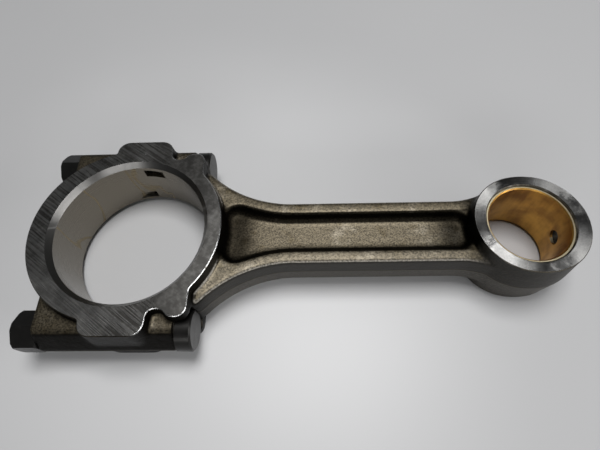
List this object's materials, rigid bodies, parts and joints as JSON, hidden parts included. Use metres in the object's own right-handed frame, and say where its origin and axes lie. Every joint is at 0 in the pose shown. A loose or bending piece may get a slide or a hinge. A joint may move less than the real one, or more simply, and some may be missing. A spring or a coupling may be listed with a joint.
{
  "type": "connecting rod",
  "caption": "Forged I-section connecting rod with a bolted, split big end and a bushed small end.",
  "frame": {"origin": "centre of the big-end bore, on the mid-plane of the rod", "axes": "+X runs from the big end to the small end, +Z along both bores, +Y towards the side with the bearing-tang slots"},
  "size_m": [0.2012, 0.0816, 0.0264],
  "materials": {
    "forged_steel": "shot-blasted forging, ground on the side faces and bored at both ends",
    "bush_bronze": "fine-bored bronze",
    "bolt_steel": "black oxide"
  },
  "bodies": {
    "rod": {"rod_body": "forged_steel", "small_end_bush": "bush_bronze"},
    "cap": {"bearing_cap": "forged_steel"},
    "left_bolt": {"rod_bolt_left": "bolt_steel"},
    "right_bolt": {"rod_bolt_right": "bolt_steel"},
    "left_nut": {"rod_nut_left": "bolt_steel"},
    "right_nut": {"rod_nut_right": "bolt_steel"}
  },
  "joints": [
    {"name": "cap_lift", "type": "slide", "parent": "rod", "child": "cap", "axis": [-1, 0, 0], "range_m": [0, 0.045]},
    {"name": "left_nut_off", "type": "slide", "parent": "cap", "child": "left_nut", "axis": [-1, 0, 0], "range_m": [0, 0.012]},
    {"name": "right_nut_off", "type": "slide", "parent": "cap", "child": "right_nut", "axis": [-1, 0, 0], "range_m": [0, 0.012]},
    {"name": "left_bolt_out", "type": "slide", "parent": "rod", "child": "left_bolt", "axis": [1, 0, 0], "range_m": [0, 0.06]},
    {"name": "right_bolt_out", "type": "slide", "parent": "rod", "child": "right_bolt", "axis": [1, 0, 0], "range_m": [0, 0.06]}
  ]
}
